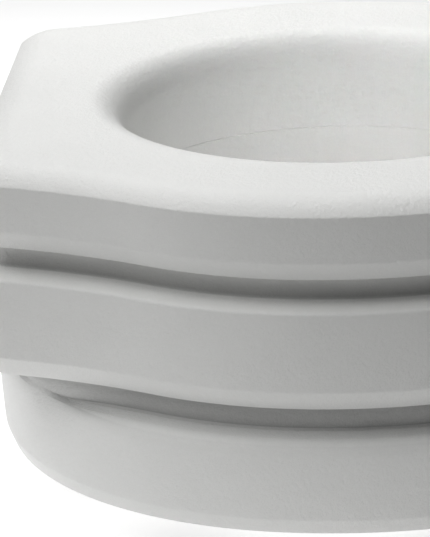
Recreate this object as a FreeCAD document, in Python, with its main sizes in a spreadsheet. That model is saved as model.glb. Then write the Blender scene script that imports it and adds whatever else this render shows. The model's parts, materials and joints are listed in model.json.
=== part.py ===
# Raised toilet seat with a front screw clamp, built as an assembly of separate pieces.
# Axes: +X to the sitter's left, +Y to the rear, +Z up.
# Origin: bottom centre of the whole object, on the surface that its brackets stand on.
import FreeCAD, Part

import math
import os

import Sketcher

# smallest corner radius that an inset outline keeps
MIN_CORNER = 2.0

DOC = FreeCAD.newDocument("raised_toilet_seat")

# Driving dimensions, in millimetres and degrees.
SIZES = {
    # plan of the seat: side arcs, a front arc and a flare into square rear corners
    "half_width": 177.0,
    "centre_y": 22.0,
    "front_side_radius": 224.0,
    "side_radius": 204.0,
    "front_reach": 199.0,
    "flare_angle": 26.5,
    "flare_radius": 343.0,
    "corner_radius": 21.0,
    "rear_reach": 181.5,
    # plan of the round drum below it
    "drum_half_width": 175.8,
    "drum_front_side_radius": 218.0,
    "drum_side_radius": 200.0,
    "drum_front_reach": 195.5,
    "drum_rear_reach": 184.8,
    # bowl opening, an ellipse
    "hole_half_width": 98.3,
    "hole_half_length": 112.5,
    "lip_radius": 19.0,
    # heights above the standing surface
    "base_level": 24.0,
    "drum_band_top": 32.5,
    "drum_top": 75.0,
    "tier_two_bottom": 91.5,
    "tier_two_band_top": 103.0,
    "tier_two_top": 145.2,
    "neck_bottom": 148.0,
    "seam_level": 151.6,
    "tier_one_bottom": 160.6,
    "tier_one_band_top": 171.5,
    "crease_level": 195.8,
    "crown_low_level": 199.0,
    "crown_high_level": 201.5,
    "top_level": 203.2,
    # insets from the plan outline
    "no_inset": 0.0,
    "band_inset": 7.2,
    "neck_inset": 13.0,
    "crown_low_inset": 5.0,
    "crown_high_inset": 11.0,
    "crown_top_inset": 20.0,
    "drum_band_inset": 2.6,
    "drum_foot_inset": 6.0,
    # walls of the hollow mouldings
    "wall": 3.5,
    "flange_inset": 18.0,
    "band_cavity_inset": 11.0,
    "roof_cavity_inset": 22.0,
    "lip_wall": 13.5,
    "flange_top": 163.6,
    "side_cavity_top": 191.0,
    "roof_cavity_top": 199.0,
    "deck_bottom": 157.0,
    "riser_inner_wall": 7.5,
    "spigot_gap": 3.8,
    "neck_cavity_inset": 16.5,
    "neck_cavity_bottom": 142.0,
    "tier_band_cavity_bottom": 95.0,
    "tier_cavity_inset": 4.0,
    "tier_cavity_bottom": 106.0,
    "core_half_width": 157.0,
    "core_half_length": 160.0,
    "drum_foot_cavity_inset": 10.0,
    "drum_foot_cavity_top": 34.0,
    "drum_cavity_inset": 6.0,
    "drum_cavity_top": 72.0,
    # base cover
    "cover_inset": 10.3,
    "cover_inner_gap": 7.8,
    "cover_thickness": 3.0,
    # fasteners
    "boss_radius": 6.0,
    "screw_radius": 2.0,
    "screw_clearance_radius": 2.3,
    "head_radius": 4.2,
    "head_height": 2.5,
    "shell_ring_half_width": 138.0,
    "shell_ring_half_length": 150.0,
    "shell_screw_length": 18.0,
    "base_ring_growth": 11.5,
    "base_screw_length": 18.0,
    "base_boss_height": 33.0,
    # drain plugs in the base cover
    "rest_ring_half_width": 138.0,
    "rest_ring_half_length": 148.0,
    "drain_hole_radius": 5.0,
    "plug_stem_radius": 4.9,
    "plug_rim_radius": 7.0,
    "plug_rim_thickness": 1.5,
    "plug_length": 6.0,
    # rubber rim pads
    "pad_length": 46.0,
    "pad_width": 24.0,
    "pad_thickness": 3.5,
    "pad_corner_radius": 6.0,
    "pad_groove_pitch": 7.0,
    "pad_groove_width": 2.0,
    "pad_groove_depth": 1.0,
    # rear hooks
    "hook_offset": 40.0,
    "hook_width": 34.0,
    "hook_leg_reach": 116.0,
    "hook_flange_length": 37.0,
    "hook_thickness": 3.0,
    "hook_screw_reach": 130.0,
    "hook_screw_half_pitch": 9.0,
    "hook_screw_length": 13.0,
    "hook_pad_thickness": 3.0,
    "hook_pad_height": 15.0,
    "hook_pad_bottom": 3.0,
    "hook_pad_margin": 2.0,
    # front clamp: a knob outside turns a screw that draws a jaw forward under the base
    "clamp_height": 50.0,
    "front_boss_radius": 15.0,
    "bush_flange_radius": 12.0,
    "bush_flange_thickness": 2.0,
    "bush_radius": 9.0,
    "bush_bore_radius": 6.03,
    "shaft_radius": 6.0,
    "journal_radius": 4.0,
    "journal_bore_radius": 4.03,
    "nut_bore_radius": 6.05,
    "ring_groove_radius": 5.2,
    "washer_radius": 10.0,
    "washer_bore_radius": 6.1,
    "retaining_ring_radius": 9.0,
    "knob_radius": 22.5,
    "knob_depth": 25.0,
    "knob_lobe_radius": 6.0,
    "knob_lobe_ring_radius": 20.0,
    "knob_lobes": 8,
    "shaft_socket_depth": 12.0,
    "cap_recess_radius": 13.0,
    "cap_recess_depth": 8.0,
    "cap_radius": 12.9,
    "cap_thickness": 2.0,
    "cap_skirt_inner_radius": 10.5,
    "cap_skirt_length": 5.5,
    "knob_screw_length": 14.0,
    "knob_edge_radius": 1.5,
    "front_boss_reach": 201.5,
    "bush_end_reach": 184.5,
    "knob_back_reach": 204.0,
    "washer_thickness": 1.5,
    "ring_thickness": 1.5,
    "end_play": 0.2,
    "journal_length": 3.8,
    "journal_front_reach": 130.0,
    "guide_rear_wall": 3.8,
    "guide_rear_height": 35.0,
    "guide_front_reach": 178.0,
    "guide_rear_reach": 125.7,
    "guide_end_margin": 6.5,
    "guide_wall_height": 30.0,
    "guide_half_width": 22.0,
    "guide_wall": 3.0,
    "guide_floor": 2.5,
    "guide_screw_offset": 26.0,
    "guide_boss_radius": 5.0,
    "guide_boss_height": 9.0,
    "guide_screw_length": 9.0,
    "nut_half_width": 18.5,
    "nut_length": 18.0,
    "nut_height": 24.0,
    "stem_half_width": 9.0,
    "stem_thickness": 8.0,
    "slot_half_width": 10.5,
    "jaw_half_width": 30.0,
    "jaw_thickness": 4.0,
    "jaw_height": 20.0,
    "jaw_pad_thickness": 3.0,
    "jaw_pad_margin": 2.0,
    "jaw_travel": 22.0,
    "slot_margin": 2.0,
    "nut_front_reach": 149.5,
    "nut_bottom": 38.0,
    "jaw_flange_thickness": 4.0,
    "stem_front_reach": 143.5,
    "stem_bottom": 6.0,
    "jaw_flange_half_width": 17.0,
    "jaw_screw_offset": 13.0,
    "jaw_screw_length": 10.0,
    "jaw_screw_radius": 1.6,
    "jaw_screw_clearance_radius": 1.8,
}

SHEET = DOC.addObject("Spreadsheet::Sheet", "Sheet")
for row, (alias, number) in enumerate(SIZES.items(), start=1):
    SHEET.set(f"A{row}", alias)
    SHEET.set(f"B{row}", str(number))
    SHEET.setAlias(f"B{row}", alias)
DOC.recompute()


class Values:
    """Numbers read back from the sheet, one attribute for each alias."""


V = Values()
for alias in SIZES:
    setattr(V, alias, float(getattr(SHEET, alias)))

PIECES = []


def cell(alias):
    return f"Sheet.{alias}"


def vector(x, y, z):
    return FreeCAD.Vector(x, y, z)


def placed(position, axis=(0, 0, 1), turn=0.0):
    """A placement whose local Z points along axis, after a turn about its own Z."""
    rotation = FreeCAD.Rotation(vector(0, 0, 1), vector(*axis))
    spin = FreeCAD.Rotation(vector(0, 0, 1), turn)
    return FreeCAD.Placement(vector(*position), rotation.multiply(spin))


def piece(shape_object, name):
    """Marks an object as a finished piece; its label is the name of its file."""
    shape_object.Label = name
    PIECES.append(shape_object)
    return shape_object


# ---------------------------------------------------------------- Part primitives
def cylinder(name, position, axis, radius, height):
    solid = DOC.addObject("Part::Cylinder", name)
    solid.setExpression("Radius", radius)
    solid.setExpression("Height", height)
    solid.Placement = placed(position, axis)
    return solid


def block(name, corner, length, width, height):
    solid = DOC.addObject("Part::Box", name)
    solid.setExpression("Length", length)
    solid.setExpression("Width", width)
    solid.setExpression("Height", height)
    solid.Placement = placed(corner)
    return solid


def joined(name, shapes):
    whole = DOC.addObject("Part::MultiFuse", name)
    whole.Shapes = shapes
    return whole


def cut(name, base, tool):
    rest = DOC.addObject("Part::Cut", name)
    rest.Base = base
    rest.Tool = tool
    return rest


def screw(name, head_position, axis, shank_radius, shank_length, head_scale="1"):
    """A pan-head screw: the head's top is at head_position, and the shank runs along axis."""
    head = cylinder(
        f"{name}_head",
        head_position,
        axis,
        f"{cell('head_radius')} * {head_scale}",
        cell("head_height"),
    )
    shank = cylinder(f"{name}_shank", head_position, axis, shank_radius, "1")
    shank.setExpression("Height", f"{cell('head_height')} + {shank_length}")
    return joined(name, [head, shank])


def screw_group(name, head_positions, axis, shank_radius, shank_length, head_scale="1"):
    screws = []
    for number, position in enumerate(head_positions):
        screws.append(
            screw(f"{name}_{number}", position, axis, shank_radius, shank_length, head_scale)
        )
    group = DOC.addObject("Part::Compound", name)
    group.Links = screws
    return piece(group, name)


# ---------------------------------------------------------------- PartDesign helpers
def new_body(name):
    body = DOC.addObject("PartDesign::Body", name)
    return piece(body, name)


def origin_plane(body, role):
    return next(f for f in body.Origin.OriginFeatures if f.Role == role)


def level_sketch(body, name, level):
    """A horizontal sketch at the height that the expression level gives."""
    sketch = body.newObject("Sketcher::SketchObject", name)
    sketch.AttachmentSupport = (origin_plane(body, "XY_Plane"), [""])
    sketch.MapMode = "FlatFace"
    sketch.setExpression("AttachmentOffset.Base.z", level)
    return sketch


def bind(sketch, kind, references, value, expression):
    """Adds a dimension to a sketch and ties it to the sheet."""
    index = sketch.addConstraint(Sketcher.Constraint(kind, *references, value))
    sketch.setExpression(f"Constraints[{index}]", expression)


def place_centre(sketch, curve, centre, x_expression, y_expression):
    """Dimensions a curve's centre from the origin, on whichever side it lies."""
    for kind, number, expression in (
        ("DistanceX", centre.x, x_expression),
        ("DistanceY", centre.y, y_expression),
    ):
        if expression is None:
            continue
        if number >= 0:
            bind(sketch, kind, (-1, 1, curve, 3), number, expression)
        else:
            bind(sketch, kind, (curve, 3, -1, 1), -number, negated(expression))


def negated(expression):
    return None if expression is None else f"-({expression})"


def arc(centre, radius, start, end):
    """A counter-clockwise arc between two angles in degrees."""
    circle = Part.Circle(centre, vector(0, 0, 1), radius)
    return Part.ArcOfCircle(circle, math.radians(start), math.radians(end))


def close_chain(sketch, first, ends):
    """Joins consecutive curves tangentially; ends gives each curve's start and end vertex."""
    for step, (_, last_vertex) in enumerate(ends):
        following = (step + 1) % len(ends)
        sketch.addConstraint(
            Sketcher.Constraint(
                "Tangent", first + step, last_vertex, first + following, ends[following][0]
            )
        )


def mirrored(point):
    return vector(-point.x, point.y, point.z)


def bearing(start, end):
    return math.degrees(math.atan2(end.y - start.y, end.x - start.x))


def front_radius(half_width, side_radius, reach):
    """Radius of the arc that closes two side arcs at the given reach, tangent to both."""
    side_x = half_width - side_radius
    return (side_radius**2 - reach**2 - side_x**2) / (2 * (side_radius - reach))


def front_radius_expression(half_width, side_radius, reach):
    side_x = f"({half_width} - {side_radius})"
    return (
        f"({side_radius} * {side_radius} - {reach} * {reach} - {side_x} * {side_x})"
        f" / (2 * ({side_radius} - {reach}))"
    )


def seat_outline(sketch, inset):
    """Plan of the seat, inset by the sheet's value: a round front and square rear corners."""
    shift = getattr(V, inset)
    flare_radius = V.flare_radius + shift
    corner_radius = V.corner_radius - shift
    corner_radius_expression = f"{cell('corner_radius')} - {cell(inset)}"
    if corner_radius < MIN_CORNER:
        corner_radius = MIN_CORNER
        corner_radius_expression = str(MIN_CORNER)
    rear_y = V.centre_y + V.rear_reach - shift
    front = front_radius(V.half_width, V.front_side_radius, V.front_reach)
    angle = math.radians(V.flare_angle)
    front_side = vector(V.half_width - V.front_side_radius, V.centre_y, 0)
    side = vector(V.half_width - V.side_radius, V.centre_y, 0)
    flare = side + vector(math.cos(angle), math.sin(angle), 0) * (V.side_radius + V.flare_radius)
    nose = vector(0, V.centre_y - V.front_reach + front, 0)
    corner_y = rear_y - corner_radius
    corner_x = flare.x - math.sqrt((flare_radius + corner_radius) ** 2 - (flare.y - corner_y) ** 2)
    corner = vector(corner_x, corner_y, 0)
    rear_left = vector(corner_x, rear_y, 0)
    nose_start = bearing(front_side, nose)
    corner_start = bearing(corner, flare)
    front_side_radius = V.front_side_radius - shift
    side_radius = V.side_radius - shift
    first = sketch.GeometryCount
    curves = [
        arc(nose, front - shift, -180 - nose_start, nose_start),
        arc(front_side, front_side_radius, nose_start, 0),
        arc(side, side_radius, 0, V.flare_angle),
        arc(flare, flare_radius, 180 + corner_start, 180 + V.flare_angle),
        arc(corner, corner_radius, corner_start, 90),
        Part.LineSegment(rear_left, mirrored(rear_left)),
        arc(mirrored(corner), corner_radius, 90, 180 - corner_start),
        arc(mirrored(flare), flare_radius, -V.flare_angle, -corner_start),
        arc(mirrored(side), side_radius, 180 - V.flare_angle, 180),
        arc(mirrored(front_side), front_side_radius, 180, 180 - nose_start),
    ]
    sketch.addGeometry(curves, False)
    # a flare arc is concave, so it runs against the outline and its ends swap
    plain = (1, 2)
    swapped = (2, 1)
    close_chain(
        sketch,
        first,
        [plain, plain, plain, swapped, plain, plain, plain, swapped, plain, plain],
    )

    nose_expression = front_radius_expression(
        cell("half_width"), cell("front_side_radius"), cell("front_reach")
    )
    bind(sketch, "Radius", (first,), front - shift, f"{nose_expression} - {cell(inset)}")
    flare_y_expression = (
        f"{cell('centre_y')} + ({cell('side_radius')} + {cell('flare_radius')})"
        f" * sin({cell('flare_angle')} * 1 deg)"
    )
    corner_y_expression = (
        f"{cell('centre_y')} + {cell('rear_reach')} - {cell(inset)} - ({corner_radius_expression})"
    )
    side_x_expression = f"{cell('half_width')} - {cell('side_radius')}"
    centre_y_expression = cell("centre_y")
    for right, left, centre, radius, radius_expression, x_expression, y_expression in (
        (1, 9, front_side, front_side_radius, "front_side_radius", None, centre_y_expression),
        (2, 8, side, side_radius, "side_radius", side_x_expression, centre_y_expression),
        (3, 7, flare, flare_radius, "flare_radius", None, flare_y_expression),
        (4, 6, corner, corner_radius, None, None, corner_y_expression),
    ):
        if radius_expression is None:
            expression = corner_radius_expression
        elif radius_expression == "flare_radius":
            expression = f"{cell(radius_expression)} + {cell(inset)}"
        else:
            expression = f"{cell(radius_expression)} - {cell(inset)}"
        for curve in (first + right, first + left):
            bind(sketch, "Radius", (curve,), radius, expression)
        place_centre(sketch, first + right, centre, x_expression, y_expression)
        place_centre(sketch, first + left, mirrored(centre), negated(x_expression), y_expression)


def drum_outline(sketch, inset):
    """Plan of the drum, inset by the sheet's value: an oval of six tangent arcs."""
    shift = getattr(V, inset)
    front = front_radius(V.drum_half_width, V.drum_front_side_radius, V.drum_front_reach)
    rear = front_radius(V.drum_half_width, V.drum_side_radius, V.drum_rear_reach)
    front_side = vector(V.drum_half_width - V.drum_front_side_radius, V.centre_y, 0)
    side = vector(V.drum_half_width - V.drum_side_radius, V.centre_y, 0)
    nose = vector(0, V.centre_y - V.drum_front_reach + front, 0)
    tail = vector(0, V.centre_y + V.drum_rear_reach - rear, 0)
    nose_start = bearing(front_side, nose)
    tail_start = bearing(side, tail)
    front_side_radius = V.drum_front_side_radius - shift
    side_radius = V.drum_side_radius - shift
    first = sketch.GeometryCount
    curves = [
        arc(nose, front - shift, -180 - nose_start, nose_start),
        arc(front_side, front_side_radius, nose_start, 0),
        arc(side, side_radius, 0, tail_start),
        arc(tail, rear - shift, tail_start, 180 - tail_start),
        arc(mirrored(side), side_radius, 180 - tail_start, 180),
        arc(mirrored(front_side), front_side_radius, 180, 180 - nose_start),
    ]
    sketch.addGeometry(curves, False)
    close_chain(sketch, first, [(1, 2)] * len(curves))
    for curve, radius, side_alias, reach in (
        (first, front, "drum_front_side_radius", "drum_front_reach"),
        (first + 3, rear, "drum_side_radius", "drum_rear_reach"),
    ):
        expression = front_radius_expression(cell("drum_half_width"), cell(side_alias), cell(reach))
        bind(sketch, "Radius", (curve,), radius - shift, f"{expression} - {cell(inset)}")
    side_x_expression = f"{cell('drum_half_width')} - {cell('drum_side_radius')}"
    for right, left, centre, radius, alias, x_expression in (
        (1, 5, front_side, front_side_radius, "drum_front_side_radius", None),
        (2, 4, side, side_radius, "drum_side_radius", side_x_expression),
    ):
        for curve in (first + right, first + left):
            bind(sketch, "Radius", (curve,), radius, f"{cell(alias)} - {cell(inset)}")
        place_centre(sketch, first + right, centre, x_expression, cell("centre_y"))
        place_centre(
            sketch, first + left, mirrored(centre), negated(x_expression), cell("centre_y")
        )


def oval(sketch, half_width, half_length, growth=None):
    """An ellipse about the opening's centre, grown by a sheet value if one is given."""
    extra = getattr(V, growth) if growth else 0.0
    plus = f" + {cell(growth)}" if growth else ""
    width = getattr(V, half_width) + extra
    length = getattr(V, half_length) + extra
    centre = vector(0, V.centre_y, 0)
    ellipse = Part.Ellipse(centre + vector(0, length, 0), centre + vector(width, 0, 0), centre)
    curve = sketch.addGeometry(ellipse, False)
    sketch.exposeInternalGeometry(curve)
    major_axis = curve + 1
    minor_axis = curve + 2
    sketch.addConstraint(Sketcher.Constraint("Vertical", major_axis))
    sketch.addConstraint(Sketcher.Constraint("PointOnObject", curve, 3, -2))
    bind(sketch, "DistanceY", (-1, 1, curve, 3), V.centre_y, cell("centre_y"))
    length_expression = f"2 * ({cell(half_length)}{plus})"
    width_expression = f"2 * ({cell(half_width)}{plus})"
    bind(sketch, "Distance", (major_axis,), 2 * length, length_expression)
    bind(sketch, "Distance", (minor_axis,), 2 * width, width_expression)


def circle_at(sketch, x, y, radius):
    """A circle whose radius follows a sheet value."""
    curve = sketch.addGeometry(Part.Circle(vector(x, y, 0), vector(0, 0, 1), getattr(V, radius)))
    bind(sketch, "Radius", (curve,), getattr(V, radius), cell(radius))
    place_centre(sketch, curve, vector(x, y, 0), str(x), str(y))


def rectangle(sketch, low_x, low_y, high_x, high_y):
    """An upright rectangle between two corners."""
    corners = [
        vector(low_x, low_y, 0),
        vector(high_x, low_y, 0),
        vector(high_x, high_y, 0),
        vector(low_x, high_y, 0),
    ]
    for number, start in enumerate(corners):
        edge = sketch.addGeometry(Part.LineSegment(start, corners[(number + 1) % 4]), False)
        sketch.addConstraint(Sketcher.Constraint("Block", edge))


def loft(body, name, outline, stations, kind="PartDesign::AdditiveLoft"):
    """A ruled loft through one outline at several (inset, level) stations."""
    sections = []
    for number, (inset, level) in enumerate(stations):
        sketch = level_sketch(body, f"{name}_section_{number}", cell(level))
        outline(sketch, inset)
        sections.append(sketch)
    feature = body.newObject(kind, name)
    feature.Profile = sections[0]
    feature.Sections = sections[1:]
    feature.Ruled = True
    return feature


def volume_of(body):
    DOC.recompute()
    return body.Shape.Volume if not body.Shape.isNull() else 0.0


def raised(body, name, sketch, length):
    """A pad upward from a sketch."""
    before = volume_of(body)
    feature = body.newObject("PartDesign::Pad", name)
    feature.Profile = sketch
    feature.setExpression("Length", length)
    if volume_of(body) <= before:
        raise RuntimeError(f"{name} adds nothing")
    return feature


def hollowed(body, name, sketch, length):
    """A pocket upward from a sketch."""
    before = volume_of(body)
    feature = body.newObject("PartDesign::Pocket", name)
    feature.Profile = sketch
    feature.Reversed = True
    feature.setExpression("Length", length)
    if volume_of(body) >= before:
        raise RuntimeError(f"{name} cuts nothing")
    return feature


def ring_pocket(body, name, outline, inset, growth, bottom, top):
    """Hollows the space between an outline and the wall of the opening."""
    sketch = level_sketch(body, f"{name}_sketch", cell(bottom))
    outline(sketch, inset)
    oval(sketch, "hole_half_width", "hole_half_length", growth)
    return hollowed(body, name, sketch, f"{cell(top)} - {cell(bottom)}")


def circles_sketch(body, name, level, positions, radius):
    sketch = level_sketch(body, name, level)
    for x, y in positions:
        circle_at(sketch, x, y, radius)
    return sketch


def ring_positions(half_width, half_length, angles):
    """Points on an ellipse about the opening's centre, at angles from +X."""
    points = []
    for degrees in angles:
        angle = math.radians(degrees)
        points.append((half_width * math.cos(angle), V.centre_y + half_length * math.sin(angle)))
    return points


# Screw places: an even ring joins the two shells; a closer ring holds the base cover, and
# leaves out its front place, where the clamp is.
SHELL_SCREWS = ring_positions(
    V.shell_ring_half_width, V.shell_ring_half_length, [22.5 + 45 * n for n in range(8)]
)
BASE_SCREWS = ring_positions(
    V.hole_half_width + V.base_ring_growth,
    V.hole_half_length + V.base_ring_growth,
    [45 * n for n in range(8) if n != 6],
)
HOOK_SCREWS = []
for side in (-1, 1):
    for step in (-1, 1):
        hook_screw_x = side * V.hook_offset + step * V.hook_screw_half_pitch
        HOOK_SCREWS.append((hook_screw_x, V.centre_y + V.hook_screw_reach))
SLOT_FRONT = V.stem_front_reach + V.jaw_travel + V.slot_margin
SLOT_REAR = V.stem_front_reach - V.stem_thickness - V.slot_margin
GUIDE_SCREWS = []
for side in (-1, 1):
    for reach in (V.guide_front_reach - V.guide_end_margin, V.guide_rear_reach + V.guide_end_margin):
        guide_screw_x = side * V.guide_screw_offset
        GUIDE_SCREWS.append((guide_screw_x, V.centre_y - reach))
DRAIN_HOLES = ring_positions(V.rest_ring_half_width, V.rest_ring_half_length, (0, 180))


# ---------------------------------------------------------------- the two shells
def opening_edge(shape):
    """The upper edge of the bowl opening: the one that lies on the flat top within its width."""
    names = []
    for number, edge in enumerate(shape.Edges, start=1):
        box = edge.BoundBox
        on_top = abs(box.ZMin - V.top_level) < 1e-3
        if on_top and box.ZLength < 1e-3 and abs(box.XMax) < V.hole_half_width + 1 and box.XLength > 1:
            if abs(box.YMax - V.centre_y) < V.hole_half_length + 1:
                names.append(f"Edge{number}")
    return names


def make_seat_shell():
    body = new_body("seat_shell")
    loft(
        body,
        "seat_form",
        seat_outline,
        [
            ("band_inset", "tier_one_bottom"),
            ("no_inset", "tier_one_band_top"),
            ("no_inset", "crease_level"),
            ("crown_low_inset", "crown_low_level"),
            ("crown_high_inset", "crown_high_level"),
            ("crown_top_inset", "top_level"),
        ],
    )
    if volume_of(body) <= 0:
        raise RuntimeError("the seat's form is empty")

    spigot = level_sketch(body, "spigot_sketch", cell("seam_level"))
    oval(spigot, "hole_half_width", "hole_half_length", "wall")
    raised(body, "spigot", spigot, f"{cell('tier_one_bottom')} - {cell('seam_level')}")

    opening = level_sketch(body, "opening_sketch", cell("seam_level"))
    oval(opening, "hole_half_width", "hole_half_length")
    hollowed(body, "opening", opening, f"{cell('top_level')} - {cell('seam_level')} + 1")

    form = body.Tip
    lip = body.newObject("PartDesign::Fillet", "lip")
    lip.Base = (form, opening_edge(form.Shape))
    lip.setExpression("Radius", cell("lip_radius"))

    for name, inset, growth, bottom, top in (
        ("lower_hollow", "flange_inset", "wall", "tier_one_bottom", "flange_top"),
        ("band_hollow", "band_cavity_inset", "wall", "flange_top", "tier_one_band_top"),
        ("side_hollow", "tier_cavity_inset", "wall", "tier_one_band_top", "side_cavity_top"),
        ("roof_hollow", "roof_cavity_inset", "lip_wall", "side_cavity_top", "roof_cavity_top"),
    ):
        ring_pocket(body, name, seat_outline, inset, growth, bottom, top)

    bosses = circles_sketch(
        body, "boss_sketch", cell("tier_one_bottom"), SHELL_SCREWS, "boss_radius"
    )
    raised(body, "bosses", bosses, f"{cell('roof_cavity_top')} - {cell('tier_one_bottom')} + 1")
    pilots = circles_sketch(
        body, "pilot_sketch", cell("tier_one_bottom"), SHELL_SCREWS, "screw_radius"
    )
    hollowed(body, "pilots", pilots, cell("shell_screw_length"))
    return body


def core_outline(sketch, inset):
    """The oval space that runs up the middle of the riser."""
    oval(sketch, "core_half_width", "core_half_length", inset)


def make_riser_shell():
    body = new_body("riser_shell")
    loft(
        body,
        "drum_form",
        drum_outline,
        [
            ("drum_foot_inset", "base_level"),
            ("drum_band_inset", "drum_band_top"),
            ("no_inset", "drum_top"),
            ("no_inset", "tier_two_bottom"),
        ],
    )
    groove = level_sketch(body, "groove_sketch", cell("drum_top"))
    seat_outline(groove, "neck_inset")
    rectangle(groove, -V.side_radius, -V.side_radius - V.centre_y, V.side_radius, V.side_radius + V.centre_y)
    hollowed(body, "groove", groove, f"{cell('tier_two_bottom')} - {cell('drum_top')}")
    loft(
        body,
        "tier_form",
        seat_outline,
        [
            ("band_inset", "tier_two_bottom"),
            ("no_inset", "tier_two_band_top"),
            ("no_inset", "tier_two_top"),
            ("neck_inset", "neck_bottom"),
            ("neck_inset", "tier_one_bottom"),
        ],
    )

    opening = level_sketch(body, "opening_sketch", cell("base_level"))
    oval(opening, "hole_half_width", "hole_half_length")
    hollowed(body, "opening", opening, f"{cell('tier_one_bottom')} - {cell('base_level')} + 1")
    rebate = level_sketch(body, "rebate_sketch", cell("seam_level"))
    oval(rebate, "hole_half_width", "hole_half_length", "spigot_gap")
    hollowed(body, "rebate", rebate, f"{cell('tier_one_bottom')} - {cell('seam_level')} + 1")

    for name, outline, inset, bottom, top in (
        ("foot_hollow", drum_outline, "drum_foot_cavity_inset", "base_level", "drum_foot_cavity_top"),
        ("drum_hollow", drum_outline, "drum_cavity_inset", "drum_foot_cavity_top", "drum_cavity_top"),
        ("core_hollow", core_outline, "no_inset", "drum_cavity_top", "tier_band_cavity_bottom"),
        (
            "band_hollow",
            seat_outline,
            "band_cavity_inset",
            "tier_band_cavity_bottom",
            "tier_cavity_bottom",
        ),
        ("tier_hollow", seat_outline, "tier_cavity_inset", "tier_cavity_bottom", "neck_cavity_bottom"),
        ("neck_hollow", seat_outline, "neck_cavity_inset", "neck_cavity_bottom", "deck_bottom"),
    ):
        ring_pocket(body, name, outline, inset, "riser_inner_wall", bottom, top)

    deck_holes = circles_sketch(
        body, "deck_hole_sketch", cell("deck_bottom"), SHELL_SCREWS, "screw_clearance_radius"
    )
    hollowed(body, "deck_holes", deck_holes, f"{cell('tier_one_bottom')} - {cell('deck_bottom')}")

    cover_top = f"{cell('base_level')} + {cell('cover_thickness')}"
    bosses = circles_sketch(body, "boss_sketch", cover_top, BASE_SCREWS, "boss_radius")
    raised(body, "bosses", bosses, cell("base_boss_height"))
    pilots = circles_sketch(body, "pilot_sketch", cover_top, BASE_SCREWS, "screw_radius")
    hollowed(body, "pilots", pilots, cell("base_screw_length"))

    boss = front_sketch(body, "front_boss_sketch", cell("bush_end_reach"))
    circle_at(boss, 0, V.clamp_height, "front_boss_radius")
    raised(
        body, "front_boss", boss, f"{cell('front_boss_reach')} - {cell('bush_end_reach')}"
    )
    bore = front_sketch(body, "front_bore_sketch", cell("bush_end_reach"))
    circle_at(bore, 0, V.clamp_height, "bush_radius")
    hollowed(body, "front_bore", bore, f"{cell('front_boss_reach')} - {cell('bush_end_reach')}")
    return body


def front_sketch(body, name, reach):
    """An upright sketch that faces the front, at a distance ahead of the opening's centre."""
    sketch = body.newObject("Sketcher::SketchObject", name)
    sketch.AttachmentSupport = (origin_plane(body, "XZ_Plane"), [""])
    sketch.MapMode = "FlatFace"
    sketch.setExpression("AttachmentOffset.Base.z", f"{reach} - {cell('centre_y')}")
    return sketch


# ---------------------------------------------------------------- underside
def make_base_cover():
    body = new_body("base_cover")
    ring = level_sketch(body, "ring_sketch", cell("base_level"))
    drum_outline(ring, "cover_inset")
    oval(ring, "hole_half_width", "hole_half_length", "cover_inner_gap")
    raised(body, "ring", ring, cell("cover_thickness"))
    cover_top = f"{cell('base_level')} + {cell('cover_thickness')}"
    bosses = circles_sketch(body, "hook_boss_sketch", cover_top, HOOK_SCREWS, "boss_radius")
    raised(body, "hook_bosses", bosses, cell("hook_screw_length"))
    through = f"{cell('cover_thickness')} + 1"
    for name, positions, radius, depth in (
        ("hook_pilots", HOOK_SCREWS, "screw_radius", cell("hook_screw_length")),
        ("base_holes", BASE_SCREWS, "screw_clearance_radius", through),
        ("guide_holes", GUIDE_SCREWS, "screw_clearance_radius", through),
        ("drain_holes", DRAIN_HOLES, "drain_hole_radius", through),
    ):
        holes = circles_sketch(body, f"{name}_sketch", cell("base_level"), positions, radius)
        hollowed(body, name, holes, depth)
    slot = level_sketch(body, "slot_sketch", cell("base_level"))
    rectangle(
        slot,
        -V.slot_half_width,
        V.centre_y - SLOT_FRONT,
        V.slot_half_width,
        V.centre_y - SLOT_REAR,
    )
    hollowed(body, "slot", slot, through)
    return body


def make_rim_pad(name, x, y, turn):
    """A rubber pad under the base cover, ribbed across its lower face."""
    body = new_body(name)
    outline = level_sketch(body, "pad_sketch", "0")
    half_length = V.pad_length / 2
    half_width = V.pad_width / 2
    rectangle(outline, -half_length, -half_width, half_length, half_width)
    pad = raised(body, "pad", outline, cell("pad_thickness"))
    grooves = level_sketch(body, "groove_sketch", "0")
    for step in range(-2, 3):
        groove_x = step * V.pad_groove_pitch
        half_groove = V.pad_groove_width / 2
        rectangle(
            grooves, groove_x - half_groove, -half_width - 1, groove_x + half_groove, half_width + 1
        )
    corners = body.newObject("PartDesign::Fillet", "corners")
    corners.Base = (pad, upright_edges(pad.Shape))
    corners.setExpression("Radius", cell("pad_corner_radius"))
    hollowed(body, "grooves", grooves, cell("pad_groove_depth"))
    body.Placement = placed((x, y, V.base_level - V.pad_thickness), turn=turn)
    return body


def upright_edges(shape):
    names = []
    for number, edge in enumerate(shape.Edges, start=1):
        along = edge.Vertexes[-1].Point - edge.Vertexes[0].Point
        if abs(along.x) < 1e-6 and abs(along.y) < 1e-6 and abs(along.z) > 1e-6:
            names.append(f"Edge{number}")
    return names


def make_drain_plugs():
    plugs = []
    for number, (x, y) in enumerate(DRAIN_HOLES):
        rim = cylinder(
            f"plug_rim_{number}",
            (x, y, V.base_level - V.plug_rim_thickness),
            (0, 0, 1),
            cell("plug_rim_radius"),
            cell("plug_rim_thickness"),
        )
        stem = cylinder(
            f"plug_stem_{number}",
            (x, y, V.base_level),
            (0, 0, 1),
            cell("plug_stem_radius"),
            cell("plug_length"),
        )
        plugs.append(joined(f"plug_{number}", [rim, stem]))
    group = DOC.addObject("Part::Compound", "drain_plugs")
    group.Links = plugs
    return piece(group, "drain_plugs")


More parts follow.
